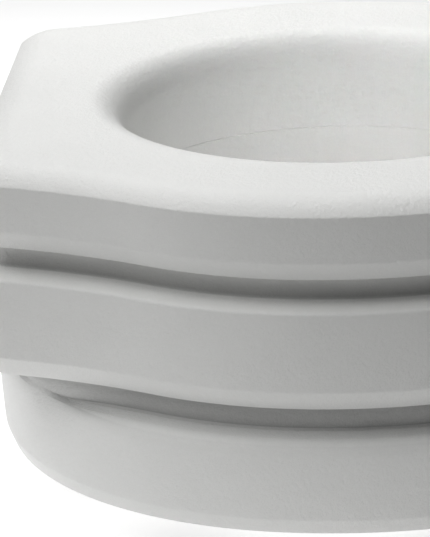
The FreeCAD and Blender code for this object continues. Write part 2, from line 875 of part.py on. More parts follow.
def make_rear_hook(side_name, side):
    """A steel angle that hangs inside the bowl's rim, with a rubber pad on its leg."""
    left_edge = side * V.hook_offset - V.hook_width / 2
    leg_y = V.centre_y + V.hook_leg_reach
    name = f"rear_hook_{side_name}"
    leg = block(
        f"{name}_leg",
        (left_edge, leg_y, 0),
        cell("hook_width"),
        cell("hook_thickness"),
        cell("base_level"),
    )
    flange = block(
        f"{name}_flange",
        (left_edge, leg_y, V.base_level - V.hook_thickness),
        cell("hook_width"),
        cell("hook_flange_length"),
        cell("hook_thickness"),
    )
    angle = joined(f"{name}_angle", [leg, flange])
    holes = []
    for number, (x, y) in enumerate(HOOK_SCREWS):
        if x * side > 0:
            holes.append(
                cylinder(
                    f"{name}_hole_{number}",
                    (x, y, V.base_level - V.hook_thickness),
                    (0, 0, 1),
                    cell("screw_clearance_radius"),
                    cell("hook_thickness"),
                )
            )
    piece(cut(name, angle, joined(f"{name}_holes", holes)), name)
    pad_name = f"rear_hook_pad_{side_name}"
    pad = block(
        pad_name,
        (left_edge + V.hook_pad_margin, leg_y + V.hook_thickness, V.hook_pad_bottom),
        f"{cell('hook_width')} - 2 * {cell('hook_pad_margin')}",
        cell("hook_pad_thickness"),
        cell("hook_pad_height"),
    )
    return piece(pad, pad_name)


def make_underside_screws():
    head_level = V.base_level - V.head_height
    cover = cell("cover_thickness")
    screw_group(
        "base_screws",
        [(x, y, head_level) for x, y in BASE_SCREWS],
        (0, 0, 1),
        cell("screw_radius"),
        f"{cover} + {cell('base_screw_length')} - 1",
    )
    screw_group(
        "guide_screws",
        [(x, y, head_level) for x, y in GUIDE_SCREWS],
        (0, 0, 1),
        cell("screw_radius"),
        f"{cover} + {cell('guide_screw_length')} - 1",
    )
    screw_group(
        "hook_screws",
        [(x, y, head_level - V.hook_thickness) for x, y in HOOK_SCREWS],
        (0, 0, 1),
        cell("screw_radius"),
        f"{cell('hook_thickness')} + {cell('hook_screw_length')} - 1",
    )
    screw_group(
        "shell_screws",
        [(x, y, V.deck_bottom - V.head_height) for x, y in SHELL_SCREWS],
        (0, 0, 1),
        cell("screw_radius"),
        f"{cell('tier_one_bottom')} - {cell('deck_bottom')} + {cell('shell_screw_length')} - 1",
    )


# ---------------------------------------------------------------- front clamp
def ahead(reach):
    """The Y of a point that lies this far ahead of the opening's centre."""
    return V.centre_y - reach


REARWARD = (0, 1, 0)
WASHER_FRONT = V.bush_end_reach - V.end_play
RING_FRONT = WASHER_FRONT - V.washer_thickness - V.end_play
SHAFT_FRONT = V.knob_back_reach + V.shaft_socket_depth


def make_front_bush():
    flange_front = V.front_boss_reach + V.bush_flange_thickness
    body_length = f"{cell('front_boss_reach')} - {cell('bush_end_reach')}"
    flange = cylinder(
        "bush_flange",
        (0, ahead(flange_front), V.clamp_height),
        REARWARD,
        cell("bush_flange_radius"),
        cell("bush_flange_thickness"),
    )
    sleeve = cylinder(
        "bush_sleeve",
        (0, ahead(V.front_boss_reach), V.clamp_height),
        REARWARD,
        cell("bush_radius"),
        body_length,
    )
    bore = cylinder(
        "bush_bore",
        (0, ahead(flange_front), V.clamp_height),
        REARWARD,
        cell("bush_bore_radius"),
        f"{cell('bush_flange_thickness')} + {body_length}",
    )
    return piece(cut("front_bush", joined("bush_solid", [flange, sleeve]), bore), "front_bush")


def make_ring(name, front_reach, outer, inner, thickness):
    centre = (0, ahead(front_reach), V.clamp_height)
    disc = cylinder(f"{name}_disc", centre, REARWARD, outer, thickness)
    bore = cylinder(f"{name}_bore", centre, REARWARD, inner, thickness)
    return piece(cut(name, disc, bore), name)


def make_lead_screw():
    """The shaft that the knob turns: a plain end, a groove for its ring, a screw and a journal."""
    ring_rear = RING_FRONT - V.ring_thickness
    segments = [
        ("shaft_radius", SHAFT_FRONT, RING_FRONT),
        ("ring_groove_radius", RING_FRONT, ring_rear),
        ("shaft_radius", ring_rear, V.journal_front_reach),
        ("journal_radius", V.journal_front_reach, V.journal_front_reach - V.journal_length),
    ]
    solids = []
    for number, (radius, front_reach, rear_reach) in enumerate(segments):
        solids.append(
            cylinder(
                f"lead_screw_{number}",
                (0, ahead(front_reach), V.clamp_height),
                REARWARD,
                cell(radius),
                str(front_reach - rear_reach),
            )
        )
    pilot = cylinder(
        "lead_screw_pilot",
        (0, ahead(SHAFT_FRONT), V.clamp_height),
        REARWARD,
        cell("screw_radius"),
        cell("knob_screw_length"),
    )
    return piece(cut("lead_screw", joined("lead_screw_solid", solids), pilot), "lead_screw")


def edges_at_height(shape, height):
    names = []
    for number, edge in enumerate(shape.Edges, start=1):
        box = edge.BoundBox
        if abs(box.ZMin - height) < 1e-6 and abs(box.ZMax - height) < 1e-6:
            names.append(f"Edge{number}")
    return names


def make_knob():
    """A lobed hand knob, modelled about its own Z and turned to face the front."""
    body = new_body("lock_knob")
    disc = level_sketch(body, "disc_sketch", "0")
    circle_at(disc, 0, 0, "knob_radius")
    raised(body, "disc", disc, cell("knob_depth"))
    lobe_sketch = level_sketch(body, "lobe_sketch", "0")
    circle_at(lobe_sketch, V.knob_lobe_ring_radius, 0, "knob_lobe_radius")
    lobe = raised(body, "lobe", lobe_sketch, cell("knob_depth"))
    lobes = body.newObject("PartDesign::PolarPattern", "lobes")
    lobes.Originals = [lobe]
    lobes.Axis = (origin_plane(body, "Z_Axis"), [""])
    lobes.Angle = 360
    lobes.setExpression("Occurrences", cell("knob_lobes"))
    body.Tip = lobes
    DOC.recompute()
    rounding = body.newObject("PartDesign::Fillet", "front_edge")
    rounding.Base = (lobes, edges_at_height(lobes.Shape, V.knob_depth))
    rounding.setExpression("Radius", cell("knob_edge_radius"))
    DOC.recompute()
    recess = level_sketch(
        body, "recess_sketch", f"{cell('knob_depth')} - {cell('cap_recess_depth')}"
    )
    circle_at(recess, 0, 0, "cap_recess_radius")
    hollowed(body, "recess", recess, f"{cell('cap_recess_depth')} + 1")
    socket = level_sketch(body, "socket_sketch", "0")
    circle_at(socket, 0, 0, "shaft_radius")
    hollowed(body, "socket", socket, cell("shaft_socket_depth"))
    hole = level_sketch(body, "hole_sketch", "0")
    circle_at(hole, 0, 0, "screw_clearance_radius")
    hollowed(body, "hole", hole, cell("knob_depth"))
    body.Placement = placed((0, ahead(V.knob_back_reach), V.clamp_height), (0, -1, 0))
    return body


def make_knob_cap():
    """A disc with a short skirt that closes the knob's recess."""
    front = V.knob_back_reach + V.knob_depth
    disc = cylinder(
        "cap_disc",
        (0, ahead(front), V.clamp_height),
        REARWARD,
        cell("cap_radius"),
        cell("cap_thickness"),
    )
    skirt = cylinder(
        "cap_skirt",
        (0, ahead(front - V.cap_thickness), V.clamp_height),
        REARWARD,
        cell("cap_radius"),
        cell("cap_skirt_length"),
    )
    inside = cylinder(
        "cap_inside",
        (0, ahead(front - V.cap_thickness), V.clamp_height),
        REARWARD,
        cell("cap_skirt_inner_radius"),
        cell("cap_skirt_length"),
    )
    return piece(joined("knob_cap", [disc, cut("cap_rim", skirt, inside)]), "knob_cap")


def make_knob_screw():
    head_front = V.knob_back_reach + V.knob_depth - V.cap_recess_depth + V.head_height
    fixing = screw(
        "knob_screw",
        (0, ahead(head_front), V.clamp_height),
        REARWARD,
        cell("screw_radius"),
        cell("knob_screw_length"),
    )
    return piece(fixing, "knob_screw")


def make_clamp_guide():
    """A slotted channel on the base cover that keeps the nut from turning."""
    low = V.base_level + V.cover_thickness
    front_y = ahead(V.guide_front_reach)
    rear_wall_y = ahead(V.guide_rear_reach) - V.guide_rear_wall
    length = f"{cell('guide_front_reach')} - {cell('guide_rear_reach')}"
    width = f"2 * {cell('guide_half_width')}"
    solids = [
        block("guide_floor_plate", (-V.guide_half_width, front_y, low), width, length, cell("guide_floor"))
    ]
    for number, x in enumerate((-V.guide_half_width, V.guide_half_width - V.guide_wall)):
        solids.append(
            block(
                f"guide_side_{number}",
                (x, front_y, low),
                cell("guide_wall"),
                length,
                cell("guide_wall_height"),
            )
        )
    solids.append(
        block(
            "guide_back",
            (-V.guide_half_width, rear_wall_y, low),
            width,
            cell("guide_rear_wall"),
            cell("guide_rear_height"),
        )
    )
    tools = [
        block(
            "guide_slot",
            (-V.slot_half_width, ahead(SLOT_FRONT), low),
            f"2 * {cell('slot_half_width')}",
            f"{cell('jaw_travel')} + {cell('stem_thickness')} + 2 * {cell('slot_margin')}",
            cell("guide_floor"),
        ),
        cylinder(
            "guide_journal_bore",
            (0, rear_wall_y, V.clamp_height),
            REARWARD,
            cell("journal_bore_radius"),
            cell("guide_rear_wall"),
        ),
    ]
    for number, (x, y) in enumerate(GUIDE_SCREWS):
        solids.append(
            cylinder(
                f"guide_boss_{number}",
                (x, y, low),
                (0, 0, 1),
                cell("guide_boss_radius"),
                cell("guide_boss_height"),
            )
        )
        tools.append(
            cylinder(
                f"guide_pilot_{number}",
                (x, y, low),
                (0, 0, 1),
                cell("screw_radius"),
                cell("guide_boss_height"),
            )
        )
    solid = joined("guide_solid", solids)
    return piece(cut("clamp_guide", solid, joined("guide_tools", tools)), "clamp_guide")


def jaw_screw_places():
    y = ahead(V.nut_front_reach) + V.nut_length / 2
    return [(-V.jaw_screw_offset, y), (V.jaw_screw_offset, y)]


def make_carriage_nut():
    """The nut block that rides along the guide."""
    front_y = ahead(V.nut_front_reach)
    solid = block(
        "nut_block",
        (-V.nut_half_width, front_y, V.nut_bottom),
        f"2 * {cell('nut_half_width')}",
        cell("nut_length"),
        cell("nut_height"),
    )
    tools = [
        cylinder(
            "nut_bore",
            (0, front_y, V.clamp_height),
            REARWARD,
            cell("nut_bore_radius"),
            cell("nut_length"),
        )
    ]
    for number, (x, y) in enumerate(jaw_screw_places()):
        tools.append(
            cylinder(
                f"nut_pilot_{number}",
                (x, y, V.nut_bottom),
                (0, 0, 1),
                cell("jaw_screw_radius"),
                cell("jaw_screw_length"),
            )
        )
    return piece(cut("carriage_nut", solid, joined("nut_tools", tools)), "carriage_nut")


def make_clamp_jaw():
    """A flange under the nut, a stem through the slot and a wide jaw below the base."""
    flange_bottom = V.nut_bottom - V.jaw_flange_thickness
    stem_front_y = ahead(V.stem_front_reach)
    flange = block(
        "jaw_flange",
        (-V.jaw_flange_half_width, ahead(V.nut_front_reach), flange_bottom),
        f"2 * {cell('jaw_flange_half_width')}",
        cell("nut_length"),
        cell("jaw_flange_thickness"),
    )
    stem = block(
        "jaw_stem",
        (-V.stem_half_width, stem_front_y, V.stem_bottom),
        f"2 * {cell('stem_half_width')}",
        cell("stem_thickness"),
        f"{cell('nut_bottom')} - {cell('stem_bottom')}",
    )
    plate = block(
        "jaw_plate",
        (-V.jaw_half_width, stem_front_y, 0),
        f"2 * {cell('jaw_half_width')}",
        cell("jaw_thickness"),
        cell("jaw_height"),
    )
    holes = []
    for number, (x, y) in enumerate(jaw_screw_places()):
        holes.append(
            cylinder(
                f"jaw_hole_{number}",
                (x, y, flange_bottom),
                (0, 0, 1),
                cell("jaw_screw_clearance_radius"),
                cell("jaw_flange_thickness"),
            )
        )
    solid = joined("jaw_solid", [flange, stem, plate])
    piece(cut("clamp_jaw", solid, joined("jaw_holes", holes)), "clamp_jaw")
    screw_group(
        "jaw_screws",
        [(x, y, flange_bottom - V.head_height) for x, y in jaw_screw_places()],
        (0, 0, 1),
        cell("jaw_screw_radius"),
        f"{cell('jaw_flange_thickness')} + {cell('jaw_screw_length')} - 1",
        "0.75",
    )
    pad = block(
        "jaw_pad",
        (
            -V.jaw_half_width + V.jaw_pad_margin,
            stem_front_y - V.jaw_pad_thickness,
            V.hook_pad_bottom,
        ),
        f"2 * ({cell('jaw_half_width')} - {cell('jaw_pad_margin')})",
        cell("jaw_pad_thickness"),
        cell("hook_pad_height"),
    )
    return piece(pad, "jaw_pad")


# ---------------------------------------------------------------- assembly
make_seat_shell()
make_riser_shell()
make_base_cover()
for pad_name, pad_angle in (
    ("rim_pad_rear_left", 30),
    ("rim_pad_rear_right", 150),
    ("rim_pad_front_right", 210),
    ("rim_pad_front_left", 330),
):
    pad_x, pad_y = ring_positions(
        V.rest_ring_half_width, V.rest_ring_half_length, [pad_angle]
    )[0]
    make_rim_pad(pad_name, pad_x, pad_y, pad_angle + 90)
make_drain_plugs()
make_rear_hook("left", 1)
make_rear_hook("right", -1)
make_underside_screws()
make_front_bush()
make_ring(
    "thrust_washer",
    WASHER_FRONT,
    cell("washer_radius"),
    cell("washer_bore_radius"),
    cell("washer_thickness"),
)
make_ring(
    "retaining_ring",
    RING_FRONT,
    cell("retaining_ring_radius"),
    cell("ring_groove_radius"),
    cell("ring_thickness"),
)
make_lead_screw()
make_knob()
make_knob_cap()
make_knob_screw()
make_clamp_guide()
make_carriage_nut()
make_clamp_jaw()
DOC.recompute()

for item in DOC.Objects:
    if "Invalid" in item.State or "Error" in item.State:
        raise RuntimeError(f"{item.Label} failed to compute: {item.State}")
os.makedirs("parts", exist_ok=True)
for item in PIECES:
    if item.Shape.isNull() or not item.Shape.isValid():
        raise RuntimeError(f"{item.Label} has no valid shape")
    item.Shape.exportStep(f"parts/{item.Label}.step")
    print(item.Label, len(item.Shape.Solids), "solids", round(item.Shape.Volume), "mm3")
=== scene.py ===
"""Looks of the raised toilet seat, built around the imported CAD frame. Lengths are in metres."""

import json
import math

import bpy
import numpy as np
from mathutils import Matrix, Vector


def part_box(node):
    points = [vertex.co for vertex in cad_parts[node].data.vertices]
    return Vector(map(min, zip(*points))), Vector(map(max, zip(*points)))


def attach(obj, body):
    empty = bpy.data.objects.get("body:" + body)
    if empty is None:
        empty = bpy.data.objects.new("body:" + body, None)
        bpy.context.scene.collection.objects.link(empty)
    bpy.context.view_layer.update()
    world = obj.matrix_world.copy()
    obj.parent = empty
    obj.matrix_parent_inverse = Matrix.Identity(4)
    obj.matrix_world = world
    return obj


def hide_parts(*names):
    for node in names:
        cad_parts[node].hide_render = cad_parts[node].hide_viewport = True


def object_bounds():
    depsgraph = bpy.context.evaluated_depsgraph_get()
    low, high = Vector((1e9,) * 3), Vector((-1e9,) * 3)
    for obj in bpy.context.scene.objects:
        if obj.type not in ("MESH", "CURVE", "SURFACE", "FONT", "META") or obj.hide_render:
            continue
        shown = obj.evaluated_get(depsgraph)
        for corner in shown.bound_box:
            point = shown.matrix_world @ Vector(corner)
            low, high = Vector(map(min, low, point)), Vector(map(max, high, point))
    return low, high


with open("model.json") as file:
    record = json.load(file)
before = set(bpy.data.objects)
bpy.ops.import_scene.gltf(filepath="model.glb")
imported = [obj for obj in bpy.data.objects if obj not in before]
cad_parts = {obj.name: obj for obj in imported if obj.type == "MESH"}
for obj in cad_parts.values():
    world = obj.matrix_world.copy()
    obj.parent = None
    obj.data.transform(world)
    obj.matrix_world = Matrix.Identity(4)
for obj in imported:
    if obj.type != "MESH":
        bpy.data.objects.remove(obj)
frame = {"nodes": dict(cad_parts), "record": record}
CAD_LOW, CAD_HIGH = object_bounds()

MM = 0.001
SHELL_LOW, SHELL_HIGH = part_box("seat_shell")
RISER_LOW, RISER_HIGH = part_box("riser_shell")

# ------------------------------------------------------------------ plan of the seat
HALF_WIDTH = SHELL_HIGH.x
CENTRE_Y = 22 * MM
FRONT_REACH = CENTRE_Y - SHELL_LOW.y
REAR_REACH = SHELL_HIGH.y - CENTRE_Y
FRONT_SIDE_RADIUS = 224 * MM
SIDE_RADIUS = 204 * MM
FLARE_RADIUS = 343 * MM
FLARE_ANGLE = math.radians(26.5)
CORNER_RADIUS = 21 * MM
HOLE_HALF_WIDTH = 98.3 * MM
HOLE_HALF_LENGTH = 112.5 * MM
DRUM_HALF_WIDTH = 175.8 * MM
DRUM_FRONT_REACH = 195.5 * MM
DRUM_REAR_REACH = RISER_HIGH.y - CENTRE_Y
DRUM_SQUARENESS = 2.06
BOSS_RADIUS = 15 * MM
BOSS_BORE = 9 * MM
BOSS_HEIGHT = 50 * MM

# heights, counted from the standing surface
BASE = RISER_LOW.z
DRUM_BAND_TOP = 32.5 * MM
DRUM_TOP = 75 * MM
TIER_TWO_BOTTOM = 91.5 * MM
TIER_TWO_BAND_TOP = 103 * MM
TIER_TWO_TOP = 145.2 * MM
NECK_BOTTOM = 148 * MM
SEAM = SHELL_LOW.z
TIER_ONE_BOTTOM = RISER_HIGH.z
TIER_ONE_BAND_TOP = 171.5 * MM
CREASE = 195.8 * MM
TOP = SHELL_HIGH.z

BAND_INSET = 7.2 * MM
NECK_INSET = 13 * MM
CROWN_WIDTH = 20.5 * MM
LIP_RADIUS = 19 * MM
SEAM_EDGE = 0.35 * MM

DRUM_DRAFT = 2.6 * MM
DRUM_ROUND_DROP = 7.5 * MM
LEDGE_RISE = 3.2 * MM
LEDGE_LIP = 2 * MM

# points round every ring of a moulding
AROUND = 720


def arc_points(centre, radius, start, end, count):
    angles = np.linspace(start, end, count)
    return np.stack(
        [centre[0] + radius * np.cos(angles), centre[1] + radius * np.sin(angles)], axis=1
    )


def closing_radius(half_width, side_radius, reach):
    """Radius of the arc that closes two side arcs at a given reach, tangent to both."""
    side_x = half_width - side_radius
    return (side_radius**2 - reach**2 - side_x**2) / (2 * (side_radius - reach))


def seat_right_half():
    """Points and outward normals of the plan's +X half, from the front tip to the rear middle."""
    nose_radius = closing_radius(HALF_WIDTH, FRONT_SIDE_RADIUS, FRONT_REACH)
    front_side = np.array([HALF_WIDTH - FRONT_SIDE_RADIUS, 0.0])
    side = np.array([HALF_WIDTH - SIDE_RADIUS, 0.0])
    nose = np.array([0.0, nose_radius - FRONT_REACH])
    toward = np.array([math.cos(FLARE_ANGLE), math.sin(FLARE_ANGLE)])
    flare = side + toward * (SIDE_RADIUS + FLARE_RADIUS)
    corner_y = REAR_REACH - CORNER_RADIUS
    reach = math.sqrt((FLARE_RADIUS + CORNER_RADIUS) ** 2 - (flare[1] - corner_y) ** 2)
    corner = np.array([flare[0] - reach, corner_y])
    nose_start = math.atan2(*(nose - front_side)[::-1])
    corner_start = math.atan2(*(flare - corner)[::-1])
    pieces = []
    for centre, radius, start, end, sign, count in (
        (nose, nose_radius, -math.pi / 2, nose_start, 1, 400),
        (front_side, FRONT_SIDE_RADIUS, nose_start, 0.0, 1, 500),
        (side, SIDE_RADIUS, 0.0, FLARE_ANGLE, 1, 300),
        (flare, FLARE_RADIUS, math.pi + FLARE_ANGLE, math.pi + corner_start, -1, 300),
        (corner, CORNER_RADIUS, corner_start, math.pi / 2, 1, 200),
    ):
        points = arc_points(centre, radius, start, end, count)
        pieces.append(np.hstack([points, sign * (points - centre) / radius]))
    line_x = np.linspace(corner[0], 0.0, 300)[1:]
    line = np.stack([line_x, np.full_like(line_x, REAR_REACH)], axis=1)
    pieces.append(np.hstack([line, np.tile([0.0, 1.0], (len(line), 1))]))
    return np.vstack(pieces)


SEAT_HALF = seat_right_half()


def full_loop(half):
    """Mirrors half a loop across the middle plane."""
    other = half[::-1].copy()
    other[:, 0] *= -1
    other[:, 2] *= -1
    return np.vstack([half, other[1:-1]])


SEAT_LOOP = full_loop(SEAT_HALF)


def even_bearings():
    """Bearings from the opening's centre, evenly spaced along the seat's outline."""
    loop = SEAT_LOOP[:, :2] - SEAT_LOOP[:, 2:] * 5 * MM
    closed = np.vstack([loop, loop[:1]])
    run = np.concatenate([[0.0], np.cumsum(np.linalg.norm(np.diff(closed, axis=0), axis=1))])
    spots = np.linspace(0.0, run[-1], AROUND, endpoint=False)
    x = np.interp(spots, run, closed[:, 0])
    y = np.interp(spots, run, closed[:, 1])
    return np.arctan2(y, x)


BEARINGS = even_bearings()


def reach_at_bearings(points):
    """Distance of a star-shaped loop from the opening's centre, at the mesh's bearings."""
    angles = np.arctan2(points[:, 1], points[:, 0])
    radii = np.hypot(points[:, 0], points[:, 1])
    order = np.argsort(angles)
    return np.interp(BEARINGS, angles[order], radii[order], period=2 * math.pi)


def seat_reach(inset):
    """The seat's plan, moved inward by the inset."""
    return reach_at_bearings(SEAT_LOOP[:, :2] - SEAT_LOOP[:, 2:] * inset)


def hole_reach(growth):
    """The opening's oval, widened by the growth."""
    width = HOLE_HALF_WIDTH + growth
    length = HOLE_HALF_LENGTH + growth
    return 1.0 / np.hypot(np.cos(BEARINGS) / width, np.sin(BEARINGS) / length)


def drum_reach(inset):
    """The drum's rounded-square oval; its rear is shorter than its front."""
    width = DRUM_HALF_WIDTH - inset
    length = np.where(np.sin(BEARINGS) > 0, DRUM_REAR_REACH, DRUM_FRONT_REACH) - inset
    across = np.abs(np.cos(BEARINGS)) / width
    along = np.abs(np.sin(BEARINGS)) / length
    return (across**DRUM_SQUARENESS + along**DRUM_SQUARENESS) ** (-1.0 / DRUM_SQUARENESS)


def soft_minimum(a, b, softness):
    """The smaller of two values, rounded over where they cross."""
    return 0.5 * (a + b - np.sqrt((a - b) ** 2 + softness**2))


# ------------------------------------------------------------------ profiles
def rounded_profile(corners):
    """Points of a polyline of (across, height, radius) corners, with each corner rounded."""
    points = [np.array(corners[0][:2])]
    for before, here, after in zip(corners, corners[1:], corners[2:]):
        spot = np.array(here[:2])
        into = np.array(before[:2]) - spot
        out = np.array(after[:2]) - spot
        into_length, out_length = np.linalg.norm(into), np.linalg.norm(out)
        into, out = into / into_length, out / out_length
        if here[2] <= 0:
            points.append(spot)
            continue
        turn = math.acos(max(-1.0, min(1.0, float(into @ out))))
        cut = min(here[2] / math.tan(turn / 2), 0.49 * into_length, 0.49 * out_length)
        steps = 7
        start, end = spot + into * cut, spot + out * cut
        for step in range(steps):
            s = step / (steps - 1)
            points.append((1 - s) ** 2 * start + 2 * s * (1 - s) * spot + s**2 * end)
    points.append(np.array(corners[-1][:2]))
    return points


def spaced(points, longest):
    """Adds points so that no step of a profile is longer than the given length."""
    result = [points[0]]
    for start, end in zip(points, points[1:]):
        parts = max(1, math.ceil(np.linalg.norm(end - start) / longest))
        for part in range(1, parts + 1):
            result.append(start + (end - start) * part / parts)
    return result


def seat_rings(corners, longest=6 * MM):
    """Rings from (inset, height, radius) corners that follow the seat's plan."""
    return [
        (seat_reach(inset), np.full(AROUND, height))
        for inset, height in spaced(rounded_profile(corners), longest)
    ]


def hole_rings(corners, longest=8 * MM):
    """Rings from (growth, height, radius) corners that follow the opening's oval."""
    return [
        (hole_reach(growth), np.full(AROUND, height))
        for growth, height in spaced(rounded_profile(corners), longest)
    ]


def ring_band(rings):
    """Points and faces of a closed band of quads through rings that share the same bearings."""
    reach = np.array([ring[0] for ring in rings])
    height = np.array([ring[1] for ring in rings])
    x = reach * np.cos(BEARINGS)
    y = reach * np.sin(BEARINGS) + CENTRE_Y
    points = np.stack([x, y, height], axis=2).reshape(-1, 3)
    return points, band_faces(len(rings), AROUND)


def band_faces(rings, around):
    """Quads between neighbouring rings; the last ring joins the first."""
    faces = []
    for ring in range(rings):
        here, following = ring * around, (ring + 1) % rings * around
        for step in range(around):
            beside = (step + 1) % around
            faces.append((here + step, here + beside, following + beside, following + step))
    return faces


def turned_boss(height, profile, around=96):
    """Points and faces of a ring turned about a line along Y, from (radius, y) corners."""
    angles = np.linspace(0, 2 * math.pi, around, endpoint=False)
    rings = [
        np.stack(
            [
                radius * np.cos(angles),
                np.full(around, y),
                height + radius * np.sin(angles),
            ],
            axis=1,
        )
        for radius, y in profile
    ]
    return np.vstack(rings), band_faces(len(profile), around)


def moulding(name, *bands):
    """One smooth-shaded object from several closed bands."""
    points, faces = [], []
    for band_points, faces_of_band in bands:
        start = len(points)
        points.extend(band_points.tolist())
        faces.extend(tuple(start + corner for corner in face) for face in faces_of_band)
    mesh = bpy.data.meshes.new(name)
    mesh.from_pydata(points, [], faces)
    mesh.update()
    mesh.shade_smooth()
    piece = bpy.data.objects.new(name, mesh)
    bpy.context.scene.collection.objects.link(piece)
    return piece


# ------------------------------------------------------------------ seat shell
def crown_corners():
    """The crowned edge: an arc that leaves the crease at a slope and ends level."""
    rise = TOP - CREASE
    sweep = 2 * math.atan2(rise, CROWN_WIDTH)
    radius = CROWN_WIDTH / math.sin(sweep)
    points = []
    steps = 12
    for step in range(1, steps + 1):
        angle = sweep * (1 - step / steps)
        inset = CROWN_WIDTH - radius * math.sin(angle)
        points.append((inset, TOP - radius * (1 - math.cos(angle)), 0))
    return points


def lip_points():
    """The rolled lip: a quarter round from the flat top down into the opening."""
    points = []
    steps = 14
    for step in range(steps + 1):
        angle = math.pi / 2 * step / steps
        growth = LIP_RADIUS * (1 - math.sin(angle))
        points.append((growth, TOP - LIP_RADIUS * (1 - math.cos(angle))))
    return points


def seat_shell_rings():
    """Rings of the upper moulding, from its skirt over the top and down through the opening."""
    wall = 3.5 * MM
    rings = seat_rings(
        [
            (NECK_INSET, TIER_ONE_BOTTOM, 0),
            (BAND_INSET, TIER_ONE_BOTTOM, 1.6 * MM),
            (0, TIER_ONE_BAND_TOP, 3.2 * MM),
            (0, CREASE, 1.3 * MM),
        ]
        + crown_corners(),
        3 * MM,
    )
    outer = seat_reach(CROWN_WIDTH)
    inner = hole_reach(LIP_RADIUS)
    for share in (0.2, 0.4, 0.6, 0.8):
        rings.append((outer + (inner - outer) * share, np.full(AROUND, TOP)))
    rings += [(hole_reach(growth), np.full(AROUND, height)) for growth, height in lip_points()]
    rings += hole_rings(
        [
            (0, TOP - LIP_RADIUS - 4 * MM, 0),
            (0, SEAM + SEAM_EDGE, 0.2 * MM),
            (SEAM_EDGE, SEAM, 0.2 * MM),
            (wall, SEAM, 0),
            (wall, TOP - LIP_RADIUS, 0),
            (6.5 * MM, TOP - 12.2 * MM, 0),
            (13.5 * MM, TOP - 4.2 * MM, 0),
        ]
    )
    rings += seat_rings(
        [
            (22 * MM, TOP - 4.2 * MM, 0),
            (22 * MM, CREASE - 2.8 * MM, 0),
            (4 * MM, CREASE - 2.8 * MM, 0),
            (4 * MM, TIER_ONE_BAND_TOP, 0),
            (11 * MM, TIER_ONE_BOTTOM + 3 * MM, 0),
            (18 * MM, TIER_ONE_BOTTOM + 3 * MM, 0),
            (18 * MM, TIER_ONE_BOTTOM, 0),
        ]
    )
    return rings


# ------------------------------------------------------------------ riser shell
def groove_wall():
    """The second groove's wall: the seat's plan inset, kept inside the drum."""
    return soft_minimum(seat_reach(NECK_INSET), drum_reach(0.1 * MM), 6 * MM)


def drum_wall(height):
    """Draft of the drum between its bottom band and its top."""
    share = (height - DRUM_BAND_TOP) / (DRUM_TOP - DRUM_BAND_TOP)
    return DRUM_DRAFT * (1 - share)


def drum_top_rings():
    """The ledge below the second groove, rolled over into the drum's wall."""
    wall = groove_wall()
    edge = drum_reach(drum_wall(DRUM_TOP - DRUM_ROUND_DROP))
    depth = np.maximum(edge - wall, 0.0)
    ledge_top = DRUM_TOP + LEDGE_RISE + LEDGE_LIP
    rings = []
    for step in range(1, 5):
        share = step / 5
        rise = TIER_TWO_BOTTOM + (ledge_top - TIER_TWO_BOTTOM) * share
        rings.append((wall, np.full(AROUND, rise)))
    for step in range(7):
        angle = math.pi / 2 * step / 6
        across = np.minimum(2.5 * MM, 0.3 * depth)
        rise = DRUM_TOP + LEDGE_RISE + LEDGE_LIP * (1 - math.sin(angle))
        rings.append((wall + across * (1 - math.cos(angle)), np.full(AROUND, rise)))
    roll = np.minimum(8 * MM, 0.66 * depth)
    for step in range(10):
        angle = math.pi / 2 * step / 9
        across = edge - roll + roll * math.sin(angle)
        rise = (DRUM_TOP - DRUM_ROUND_DROP) + (DRUM_ROUND_DROP + 0.6 * MM) * math.cos(angle)
        rings.append((across, np.full(AROUND, rise)))
    return rings


def drum_side_rings():
    """The drum's wall down to the base, round its foot and up its inner face."""
    rings = []
    top = DRUM_TOP - DRUM_ROUND_DROP
    profile = rounded_profile(
        [
            (drum_wall(top), top - 1 * MM, 0),
            (DRUM_DRAFT, DRUM_BAND_TOP, 4.5 * MM),
            (6 * MM, BASE, 1.5 * MM),
            (10 * MM, BASE, 0),
            (10 * MM, BASE + 10 * MM, 0),
            (6 * MM, BASE + 10 * MM, 0),
            (6 * MM, DRUM_TOP - 3 * MM, 0),
        ]
    )
    for inset, height in spaced(profile, 5 * MM):
        rings.append((drum_reach(inset), np.full(AROUND, height)))
    return rings


def core_reach():
    """Oval of the hollow under the second tier."""
    width, length = 157 * MM, 160 * MM
    return 1.0 / np.hypot(np.cos(BEARINGS) / width, np.sin(BEARINGS) / length)


